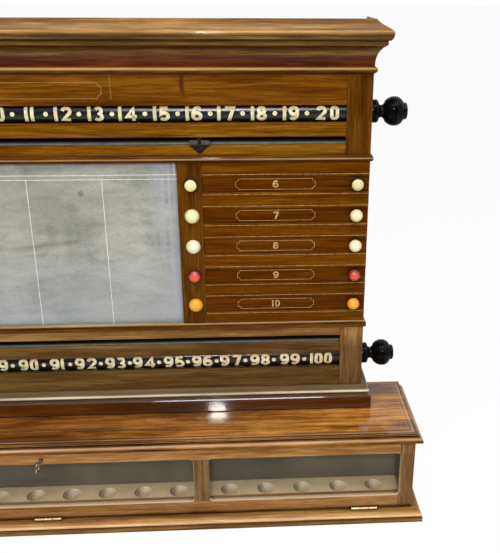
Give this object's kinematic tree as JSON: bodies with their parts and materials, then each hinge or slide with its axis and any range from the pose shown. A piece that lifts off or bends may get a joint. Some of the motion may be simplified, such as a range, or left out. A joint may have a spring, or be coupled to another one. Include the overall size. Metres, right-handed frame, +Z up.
{
  "type": "billiard scoreboard",
  "caption": "Wooden billiard marking board: number rollers behind slotted fronts, a slate, tally slides with ball knobs, and a glazed ball box with a drop front below.",
  "frame": {"origin": "middle of the board, on the underside of the ball box, in the plane of the cabinet's front face", "axes": "+X to the viewer's right, +Y into the board towards the wall, +Z up"},
  "size_m": [1.289, 0.2092, 0.83],
  "materials": {
    "walnut": "polished",
    "dark_walnut": "polished",
    "slide_walnut": "polished",
    "ebonised": "black gloss",
    "slate": "honed stone",
    "box_lining": "matt paint",
    "tray_grey": "matt paint",
    "glass": "clear",
    "brass": "aged",
    "steel": "dull",
    "ball_cream": "polished",
    "ball_ivory": "polished",
    "ball_white": "polished",
    "ball_red": "polished",
    "ball_orange": "polished"
  },
  "bodies": {
    "cabinet": {"cabinet_plinth": "walnut", "lower_front": "walnut", "lower_bead": "walnut", "upper_bead": "walnut", "upper_front": "walnut", "cornice": "walnut", "cabinet_side_left": "walnut", "cabinet_side_right": "walnut", "cabinet_back": "dark_walnut", "slate": "slate", "slate_stile_left": "dark_walnut", "slate_stile_right": "dark_walnut", "slide_frame_left": "walnut", "slide_frame_right": "walnut", "upper_slot_strip": "steel", "lower_slot_strip": "steel", "base_floor": "walnut", "base_top": "walnut", "base_end_left": "walnut", "base_end_right": "walnut", "base_back": "dark_walnut", "ball_tray": "tray_grey", "ball_box_lining": "box_lining", "hinge_left_base_leaf": "brass", "hinge_middle_base_leaf": "brass", "hinge_right_base_leaf": "brass"},
    "door": {"door_frame": "walnut", "left_door_glass": "glass", "middle_door_glass": "glass", "right_door_glass": "glass", "lock_case": "brass", "hinge_left_door_leaf": "brass", "hinge_middle_door_leaf": "brass", "hinge_right_door_leaf": "brass"},
    "lock_bolt": {"lock_bolt": "steel"},
    "key": {"key": "steel"},
    "upper_roller": {"upper_roller": "ebonised"},
    "lower_roller": {"lower_roller": "ebonised"},
    "upper_pointer": {"upper_pointer": "brass"},
    "lower_pointer": {"lower_pointer": "brass"},
    "slide_left_1": {"slide_left_1": "slide_walnut", "slide_knob_left_1": "ball_cream"},
    "slide_left_2": {"slide_left_2": "slide_walnut", "slide_knob_left_2": "ball_ivory"},
    "slide_left_3": {"slide_left_3": "slide_walnut", "slide_knob_left_3": "ball_white"},
    "slide_left_4": {"slide_left_4": "slide_walnut", "slide_knob_left_4": "ball_red"},
    "slide_left_5": {"slide_left_5": "slide_walnut", "slide_knob_left_5": "ball_orange"},
    "slide_right_1": {"slide_right_1": "slide_walnut", "slide_knob_right_1": "ball_cream"},
    "slide_right_2": {"slide_right_2": "slide_walnut", "slide_knob_right_2": "ball_ivory"},
    "slide_right_3": {"slide_right_3": "slide_walnut", "slide_knob_right_3": "ball_white"},
    "slide_right_4": {"slide_right_4": "slide_walnut", "slide_knob_right_4": "ball_red"},
    "slide_right_5": {"slide_right_5": "slide_walnut", "slide_knob_right_5": "ball_orange"}
  },
  "joints": [
    {"name": "upper_roller_turn", "type": "hinge", "parent": "cabinet", "child": "upper_roller", "pos_m": [0, 0.024, 0.6895], "axis": [1, 0, 0], "continuous": true},
    {"name": "lower_roller_turn", "type": "hinge", "parent": "cabinet", "child": "lower_roller", "pos_m": [0, 0.024, 0.261], "axis": [1, 0, 0], "continuous": true},
    {"name": "upper_pointer_slide", "type": "slide", "parent": "cabinet", "child": "upper_pointer", "axis": [1, 0, 0], "range_m": [-0.75, 0.2]},
    {"name": "lower_pointer_slide", "type": "slide", "parent": "cabinet", "child": "lower_pointer", "axis": [1, 0, 0], "range_m": [-0.1, 0.85]},
    {"name": "door_drop", "type": "hinge", "parent": "cabinet", "child": "door", "pos_m": [0, -0.1041, 0.0219], "axis": [1, 0, 0], "range_deg": [0, 85]},
    {"name": "key_turn", "type": "hinge", "parent": "door", "child": "key", "pos_m": [0, -0.101, 0.14], "axis": [0, 1, 0], "range_deg": [0, 90]},
    {"name": "bolt_throw", "type": "slide", "parent": "door", "child": "lock_bolt", "axis": [0, 0, 1], "range_m": [0, 0.006]},
    {"name": "slide_left_1_pull", "type": "slide", "parent": "cabinet", "child": "slide_left_1", "axis": [-1, 0, 0], "range_m": [0, 0.08]},
    {"name": "slide_left_2_pull", "type": "slide", "parent": "cabinet", "child": "slide_left_2", "axis": [-1, 0, 0], "range_m": [0, 0.08]},
    {"name": "slide_left_3_pull", "type": "slide", "parent": "cabinet", "child": "slide_left_3", "axis": [-1, 0, 0], "range_m": [0, 0.08]},
    {"name": "slide_left_4_pull", "type": "slide", "parent": "cabinet", "child": "slide_left_4", "axis": [-1, 0, 0], "range_m": [0, 0.08]},
    {"name": "slide_left_5_pull", "type": "slide", "parent": "cabinet", "child": "slide_left_5", "axis": [-1, 0, 0], "range_m": [0, 0.08]},
    {"name": "slide_right_1_pull", "type": "slide", "parent": "cabinet", "child": "slide_right_1", "axis": [1, 0, 0], "range_m": [0, 0.08]},
    {"name": "slide_right_2_pull", "type": "slide", "parent": "cabinet", "child": "slide_right_2", "axis": [1, 0, 0], "range_m": [0, 0.08]},
    {"name": "slide_right_3_pull", "type": "slide", "parent": "cabinet", "child": "slide_right_3", "axis": [1, 0, 0], "range_m": [0, 0.08]},
    {"name": "slide_right_4_pull", "type": "slide", "parent": "cabinet", "child": "slide_right_4", "axis": [1, 0, 0], "range_m": [0, 0.08]},
    {"name": "slide_right_5_pull", "type": "slide", "parent": "cabinet", "child": "slide_right_5", "axis": [1, 0, 0], "range_m": [0, 0.08]}
  ],
  "couplings": [
    {"joint": "key_turn", "follows": "bolt_throw", "rad_per_m": 261.8}
  ]
}
